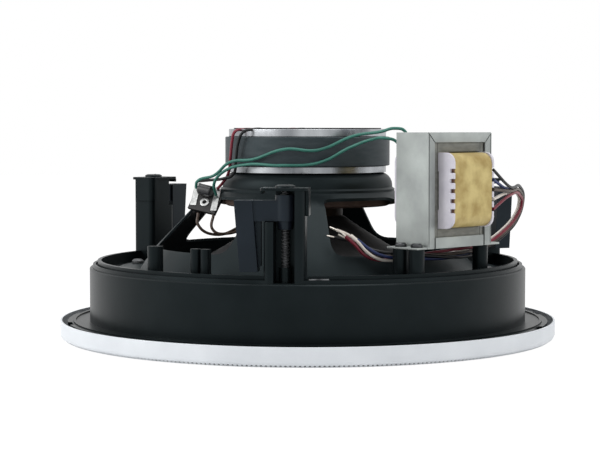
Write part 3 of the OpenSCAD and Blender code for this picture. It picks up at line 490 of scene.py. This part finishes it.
# The three dogs are moulded in a harder, slightly blue black plastic, and the caps are pushed over
# the towers. Each dog turns on its own coarse screw, which is driven from the front.
dog_plastic = mottled(
    "dog plastic", (0.006, 0.0075, 0.012), (0.010, 0.0125, 0.019),
    size=0.02, rough=0.36, relief=0.12, grain=1200, shine=0.2, tint=cool
)
screw_steel = mottled(
    "blackened steel", (0.05, 0.052, 0.055), (0.09, 0.094, 0.098),
    size=0.004, rough=0.5, metal=0.5
)
clamp_distance = 0.111
clamp_start = -95.8
clamp_step = 120
thread_low = 0.0340
thread_high = 0.0850
thread_pitch = 0.0017
thread_root = 0.0015
thread_crest = 0.0021
thread_depth = thread_crest - thread_root
thread_flank = 0.0005
thread_top = 0.0003
thread_gap = 0.0004
thread_line = [
    (thread_depth, thread_flank), (0, thread_top), (-thread_depth, thread_flank), (0, thread_gap)
]
thread_limit = math.radians(40)
head_top = 0.0329
head_spread = 2.5
head_height = 0.0025
head_edge = 0.0006
head_crown = 0.0005
drive_edge = 0.0022
drive_depth = 0.0016
for number in (1, 2, 3):
    softened(f"clamp_dog_{number}", dog_plastic, edge=0.0004, body=f"dog_{number}")
    softened(f"clamp_cap_{number}", moulding, edge=0.0003)
    direction = math.radians(clamp_start + clamp_step * (number - 1))
    across = (clamp_distance * math.cos(direction), clamp_distance * math.sin(direction))

    thread = first_point(f"clamp_screw_{number}_thread", (thread_root, 0, 0))
    for out, up in thread_line:
        bpy.ops.mesh.extrude_region_move(TRANSFORM_OT_translate={"value": (out, 0, up)})
    bpy.ops.object.mode_set(mode="OBJECT")
    helix = thread.modifiers.new("thread", "SCREW")
    helix.screw_offset = thread_pitch
    helix.iterations = round((thread_high - thread_low) / thread_pitch)
    helix.steps = 20
    helix.render_steps = 20
    helix.use_merge_vertices = True
    helix.merge_threshold = 0.00001
    bpy.ops.object.modifier_apply(modifier=helix.name)
    for corner in thread.data.vertices:
        corner.co += Vector((*across, thread_low))
    bpy.ops.object.mode_set(mode="EDIT")
    face_outwards()
    bpy.ops.object.shade_smooth_by_angle(angle=thread_limit)
    dress(thread, screw_steel, f"screw_{number}")
    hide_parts(f"clamp_screw_{number}")

    bpy.ops.mesh.primitive_cylinder_add(vertices=40, radius=thread_root, depth=thread_high - head_top)
    core = bpy.context.object
    core.name = f"clamp_screw_{number}_core"
    bpy.ops.object.mode_set(mode="EDIT")
    bpy.ops.mesh.select_all(action="SELECT")
    bpy.ops.transform.translate(value=(*across, (thread_high + head_top) / 2))
    bpy.ops.object.mode_set(mode="OBJECT")
    choose(core, "FACE", lambda face: face.normal.z < -0.9)
    bpy.ops.mesh.extrude_region_move(TRANSFORM_OT_translate={"value": (0, 0, 0)})
    bpy.ops.transform.resize(value=(head_spread, head_spread, 1))
    bpy.ops.mesh.extrude_region_move(TRANSFORM_OT_translate={"value": (0, 0, -head_height)})
    bpy.ops.mesh.inset(thickness=head_edge, depth=head_crown)
    bpy.ops.mesh.inset(thickness=drive_edge, depth=0)
    bpy.ops.mesh.extrude_region_move(TRANSFORM_OT_translate={"value": (0, 0, drive_depth)})
    bpy.ops.mesh.select_all(action="SELECT")
    bpy.ops.mesh.remove_doubles(threshold=weld)
    face_outwards()
    bpy.ops.object.shade_smooth_by_angle(angle=smooth_limit)
    dress(core, screw_steel, f"screw_{number}")
    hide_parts(f"clamp_screw_{number}")

# The basket is pressed from one sheet of steel, with four windows in its side, and is painted.
# Four blackened pan head screws hold it on the baffle's deck.
basket_paint = mottled(
    "basket paint", (0.006, 0.009, 0.010), (0.011, 0.015, 0.0165),
    size=0.03, rough=0.44, relief=0.1, grain=1400, shine=0.13, tint=cool
)
softened("basket", basket_paint, edge=0.0003)
softened("basket_screws", screw_steel, edge=0.0002)

# The magnet is a pressed and fired ferrite ring between two zinc plated steel plates. The back
# plate and its pole are one turned piece, with a blank black label glued on.
# The plating's colour drifts between near black and light grey. The grey is the plating's own tone; the
# dark patches are painted reflections of dark surroundings.
zinc_and_painted_reflection = mottled(
    "zinc plate with painted reflections", (0.10, 0.108, 0.12), (0.46, 0.48, 0.50),
    size=0.022, rough=0.3, spread=0.1, relief=0.2, grain=700, stretch=(1, 1, 0.3), metal=1
)
ferrite = mottled(
    "ferrite", (0.020, 0.026, 0.030), (0.036, 0.043, 0.048),
    size=0.01, rough=0.5, relief=0.3, grain=900, stretch=(1, 1, 4), shine=0.3, tint=cool
)
label_black = mottled(
    "black label", (0.004, 0.004, 0.005), (0.008, 0.008, 0.009),
    size=0.02, rough=0.85, shine=0.02
)
softened("front_plate", zinc_and_painted_reflection, edge=0.0003)
softened("back_plate", zinc_and_painted_reflection, edge=0.0004)
softened("magnet", ferrite, edge=0.0006)
softened("rear_label", label_black, edge=0.0001)

# The voice coil is copper wire wound on a thin former. The former is rolled from stiff paper and
# glued into the neck of the cone.
former_paper = mottled(
    "coil former", (0.035, 0.025, 0.018), (0.06, 0.042, 0.03),
    size=0.01, rough=0.6, shine=0.2
)
copper = mottled(
    "copper wire", (0.45, 0.16, 0.06), (0.62, 0.25, 0.10),
    size=0.002, rough=0.3, relief=0.6, stretch=(1, 1, 12), metal=1
)
softened("voice_coil_former", former_paper, edge=0.00005, body="diaphragm")
softened("voice_coil_winding", copper, edge=0.0002, body="diaphragm")

# The cone is felted paper pulp, dried on a form: it flares from the coil and has a rolled bead
# half way down, where the pulp is thicker.
pulp = mottled(
    "cone paper", (0.012, 0.012, 0.013), (0.022, 0.022, 0.024),
    size=0.004, rough=0.75, relief=0.7, grain=700
)
pulp_thick = 0.0008
cone_top = [(0.0193, 0.0659), (0.0222, 0.0640), (0.0250, 0.0619), (0.0356, 0.0550)]
cone_top += [(0.0463, 0.0485), (0.0545, 0.0439), (0.0560, 0.0436), (0.0575, 0.0424)]
cone_top += [(0.0620, 0.0398), (0.0710, 0.0369), (0.0800, 0.0344)]
cone_under = [(radius, height - pulp_thick) for radius, height in reversed(cone_top)]
cone = turned("cone_paper", cone_top + cone_under + cone_top[:1])
dress(cone, pulp, "diaphragm")
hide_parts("cone")

# The spider is woven cotton set with resin, pressed into five waves and glued to the basket, with
# a brown card ring on its edge that shows through the windows.
cloth = mottled(
    "spider cloth", (0.046, 0.027, 0.020), (0.078, 0.048, 0.037),
    size=0.008, rough=0.8, relief=0.8, grain=1100
)
cloth_half = 0.0003
spider_height = 0.0727
spider_inner = 0.01935
spider_outer = 0.048
spider_steps = 120
inner_flat = 0.001
both_flats = 0.004
waves = 5
wave_height = 0.0011
wave_points = 60
spider_middle = []
for i in range(wave_points + 1):
    along = i / wave_points
    radius = spider_inner + inner_flat + (spider_outer - both_flats - spider_inner) * along
    spider_middle.append((radius, spider_height + wave_height * math.sin(2 * math.pi * waves * along)))
spider_middle = [(spider_inner, spider_height)] + spider_middle + [(spider_outer, spider_height)]
spider_line = [(radius, height + cloth_half) for radius, height in spider_middle]
spider_line += [(radius, height - cloth_half) for radius, height in reversed(spider_middle)]
spider = turned("spider_cloth", spider_line + spider_line[:1], steps=spider_steps)
dress(spider, cloth, "root")
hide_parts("spider")
card_low = 0.0731
card_high = 0.0766
card_inner = 0.0466
card_line = [(card_inner, card_low), (spider_outer, card_low), (spider_outer, card_high)]
card_line += [(card_inner, card_high), (card_inner, card_low)]
card_ring = turned("spider_ring", card_line, steps=spider_steps)
dress(card_ring, cloth, "root")
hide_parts("spider")

# The surround is a half roll of soft rubber between the cone and the basket, and a hard board
# gasket presses its edge against the deck.
rubber = mottled(
    "surround rubber", (0.010, 0.010, 0.011), (0.016, 0.016, 0.017),
    size=0.006, rough=0.6, relief=0.3
)
gasket_board = mottled(
    "gasket board", (0.010, 0.010, 0.010), (0.022, 0.021, 0.020),
    size=0.004, rough=0.85, relief=0.6
)
rubber_thick = 0.0008
land_height = 0.0352
land_inner = 0.0008
land_outer = 0.0932
roll_inner = 0.08005
roll_outer = 0.08805
roll_middle = (roll_inner + land_inner + roll_outer) / 2
roll_radius = (roll_outer - roll_inner - land_inner) / 2
surround_line = [(roll_inner, land_height), (roll_inner, land_height + rubber_thick)]
surround_line += arc((roll_middle, land_height + rubber_thick), roll_radius - rubber_thick, 180, 360, 14)
surround_line += [(land_outer, land_height + rubber_thick), (land_outer, land_height)]
surround_line += arc((roll_middle, land_height), roll_radius, 360, 180, 14)
surround = turned("surround_roll", surround_line + surround_line[:1])
dress(surround, rubber, "root")
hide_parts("surround")
softened("gasket", gasket_board, edge=0.0002)

# The tweeter stands in front of the cone on a hollow stem: a plastic cup, a small magnet, a silk
# dome and a flared ring.
tweeter_plastic = mottled(
    "tweeter plastic", (0.009, 0.009, 0.010), (0.015, 0.015, 0.016),
    size=0.02, rough=0.4, relief=0.15
)
silk = mottled(
    "dome silk", (0.050, 0.050, 0.056), (0.075, 0.075, 0.082),
    size=0.002, rough=0.5, relief=0.3
)
softened("tweeter_stem", tweeter_plastic, edge=0.0002)
softened("tweeter_housing", tweeter_plastic, edge=0.0004)
softened("tweeter_plate", tweeter_plastic, edge=0.0003)
softened("tweeter_magnet", zinc_and_painted_reflection, edge=0.0003)
silk_thick = 0.0004
dome_radius = 0.013
dome_rise = 0.005
dome_base = 0.0257
ball = (dome_radius**2 + dome_rise**2) / (2 * dome_rise)
ball_centre = (0, dome_base - dome_rise + ball)
dome_turn = math.degrees(math.asin(dome_radius / ball))
dome_line = arc(ball_centre, ball, -90, -90 + dome_turn, 14)
dome_line += arc(ball_centre, ball - silk_thick, -90 + dome_turn, -90, 14)
dome = turned("dome_silk", dome_line, steps=96)
dress(dome, silk, "root")
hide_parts("tweeter_dome")

# The terminal board is black fibre sheet, riveted to a tab of the basket. Its two tags are tinned
# brass, and the tweeter's capacitor lies between them in a shrunk sleeve.
fibre = mottled(
    "board fibre", (0.008, 0.008, 0.009), (0.016, 0.016, 0.016),
    size=0.003, rough=0.6, relief=0.4
)
tin = mottled(
    "tinned brass", (0.42, 0.43, 0.43), (0.72, 0.73, 0.72),
    size=0.002, rough=0.32, spread=0.12, relief=0.5, grain=600, metal=1
)
sleeve = mottled(
    "capacitor sleeve", (0.014, 0.015, 0.017), (0.026, 0.028, 0.031),
    size=0.003, rough=0.35
)
softened("terminal_board", fibre, edge=0.0002)
softened("terminal_tag_left", tin, edge=0.00012)
softened("terminal_tag_right", tin, edge=0.00012)
softened("terminal_rivet", tin, edge=0.0003)
softened("tweeter_capacitor", sleeve, edge=0.0009, steps=4)

# The transformer's core is a stack of thin steel sheets. A galvanised sheet frame is folded round
# it, with mitred lips and two feet, and a strap closes it below.
lamination = mottled(
    "laminations", (0.115, 0.118, 0.104), (0.185, 0.188, 0.168),
    size=0.006, rough=0.5, relief=0.4, stretch=(1, 1, 3)
)
galvanised = mottled(
    "galvanised sheet", (0.27, 0.29, 0.283), (0.41, 0.44, 0.425),
    size=0.02, rough=0.45, spread=0.08, relief=0.12, metal=0.6
)
core_stack = softened("transformer_core", lamination, edge=0.0002)
housing = softened("transformer_frame", galvanised, edge=0.00035)
transformer_turn = Matrix.Rotation(math.radians(45), 4, "Z")
transformer_place = transformer_turn @ Matrix.Translation((0, -0.098, 0))


def score(piece, size, place, slant=0):
    """Cuts a narrow slot into the transformer: its size and middle lie along, across and up."""
    bpy.ops.object.select_all(action="DESELECT")
    bpy.ops.mesh.primitive_cube_add(size=1)
    cutter = bpy.context.object
    turn = Matrix.Rotation(math.radians(slant), 4, "Y")
    turned_place = transformer_place @ Matrix.Translation(place) @ turn
    cutter.matrix_world = turned_place @ Matrix.Diagonal((*size, 1))
    bpy.context.view_layer.update()
    pick(piece)
    slot = piece.modifiers.new("slot", "BOOLEAN")
    slot.object = cutter
    slot.solver = "EXACT"
    bpy.ops.object.modifier_apply(modifier=slot.name)
    bpy.data.objects.remove(cutter)


middle_height = 0.0825
lip_face = -0.01065
lip_corner = 0.02225
lip_corner_height = 0.1089
lip_fold = 0.02405
stack_face = -0.0096
stack_joint = 0.0167
stack_gap = 0.0193
mitre_slot = (0.00055, 0.0012, 0.0078)
fold_slot = (0.0005, 0.0012, 0.0560)
joint_slot = (0.0003, 0.0008, 0.0600)
gap_slot = (0.0007, 0.0030, 0.0480)
for side in (-1, 1):
    score(housing, mitre_slot, (side * lip_corner, lip_face, lip_corner_height), slant=side * 45)
    score(housing, fold_slot, (side * lip_fold, lip_face, middle_height))
    score(core_stack, joint_slot, (side * stack_joint, stack_face, middle_height))
    score(core_stack, gap_slot, (side * stack_gap, stack_face, middle_height))
softened("transformer_strap", galvanised, edge=0.00025)
softened("transformer_screws", dull_steel, edge=0.0002)

# The coil is wound on a white nylon bobbin with slotted flanges, and wrapped in varnished paper
# that has yellowed.
nylon = mottled(
    "nylon", (0.58, 0.56, 0.63), (0.72, 0.70, 0.76),
    size=0.01, rough=0.4, relief=0.1, shine=0.3
)
wrap_paper = mottled(
    "varnished paper", (0.34, 0.24, 0.075), (0.58, 0.47, 0.20),
    size=0.008, rough=0.42, relief=0.2, grain=900, shine=0.3
)
varnished_wire = mottled(
    "varnished wire", (0.05, 0.018, 0.009), (0.12, 0.045, 0.02),
    size=0.002, rough=0.4, relief=0.5
)
softened("transformer_bobbin", nylon, edge=0.0003)
softened("transformer_winding", varnished_wire, edge=0.0003)
softened("transformer_wrap", wrap_paper, edge=0.0001)


# The table and the lights: a plain pale ground and three large soft panels. The ground goes down
# with the grille when that is pulled off, because the grille lies on it.
def plainly_seen(tree):
    """One for a ray from the camera, off gloss or through glass, and zero for any other ray."""
    rays = tree.nodes.new("ShaderNodeLightPath")
    two_kinds = tree.nodes.new("ShaderNodeMath")
    two_kinds.operation = "MAXIMUM"
    three_kinds = tree.nodes.new("ShaderNodeMath")
    three_kinds.operation = "MAXIMUM"
    tree.links.new(rays.outputs["Is Camera Ray"], two_kinds.inputs[0])
    tree.links.new(rays.outputs["Is Glossy Ray"], two_kinds.inputs[1])
    tree.links.new(two_kinds.outputs["Value"], three_kinds.inputs[0])
    tree.links.new(rays.outputs["Is Transmission Ray"], three_kinds.inputs[1])
    return three_kinds.outputs["Value"]


floor_size = 6
floor_height = -0.0004
floor_white = 1.1
floor_share = 0.88
bpy.ops.mesh.primitive_plane_add(size=floor_size, location=(0, 0, floor_height))
floor = bpy.context.object
floor.name = "floor"
ground = bpy.data.materials.new("pale ground")
ground.use_nodes = True
ground_nodes = ground.node_tree.nodes
ground_link = ground.node_tree.links.new
ground_nodes.remove(ground_nodes["Principled BSDF"])
matt = ground_nodes.new("ShaderNodeBsdfDiffuse")
matt.inputs["Color"].default_value = (0.9, 0.9, 0.9, 1)
white = ground_nodes.new("ShaderNodeEmission")
white.inputs["Strength"].default_value = floor_white
share = ground_nodes.new("ShaderNodeMath")
share.operation = "MULTIPLY"
share.inputs[1].default_value = floor_share
blend_in = ground_nodes.new("ShaderNodeMixShader")
ground_link(plainly_seen(ground.node_tree), share.inputs[0])
ground_link(share.outputs["Value"], blend_in.inputs["Fac"])
ground_link(matt.outputs["BSDF"], blend_in.inputs[1])
ground_link(white.outputs["Emission"], blend_in.inputs[2])
ground_link(blend_in.outputs["Shader"], ground_nodes["Material Output"].inputs["Surface"])
floor.data.materials.append(ground)
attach(floor, "grille_cover")

sky_light = 0.42
sky_white = 1.0
world = bpy.context.scene.world or bpy.data.worlds.new("room")
bpy.context.scene.world = world
world.use_nodes = True
world_link = world.node_tree.links.new
sky = world.node_tree.nodes["Background"]
sky.inputs["Color"].default_value = (1, 1, 1, 1)
sky_level = world.node_tree.nodes.new("ShaderNodeMapRange")
sky_level.inputs["To Min"].default_value = sky_light
sky_level.inputs["To Max"].default_value = sky_white
world_link(plainly_seen(world.node_tree), sky_level.inputs["Value"])
world_link(sky_level.outputs["Result"], sky.inputs["Strength"])

lit_point = Vector((0, 0, 0.05))
panels = [
    ("left panel", (-1.3, -0.5, 0.7), 0.9, 13),
    ("right panel", (1.4, -0.7, 0.8), 0.9, 8),
    ("top panel", (0.1, 0.2, 1.6), 1.2, 14),
]
for name, place, size, watts in panels:
    bpy.ops.object.light_add(type="AREA", location=place)
    panel = bpy.context.object
    panel.name = name
    panel.data.size = size
    panel.data.energy = watts
    panel.rotation_euler = (lit_point - Vector(place)).to_track_quat("-Z", "Y").to_euler()
bpy.context.scene.view_settings.view_transform = "Standard"
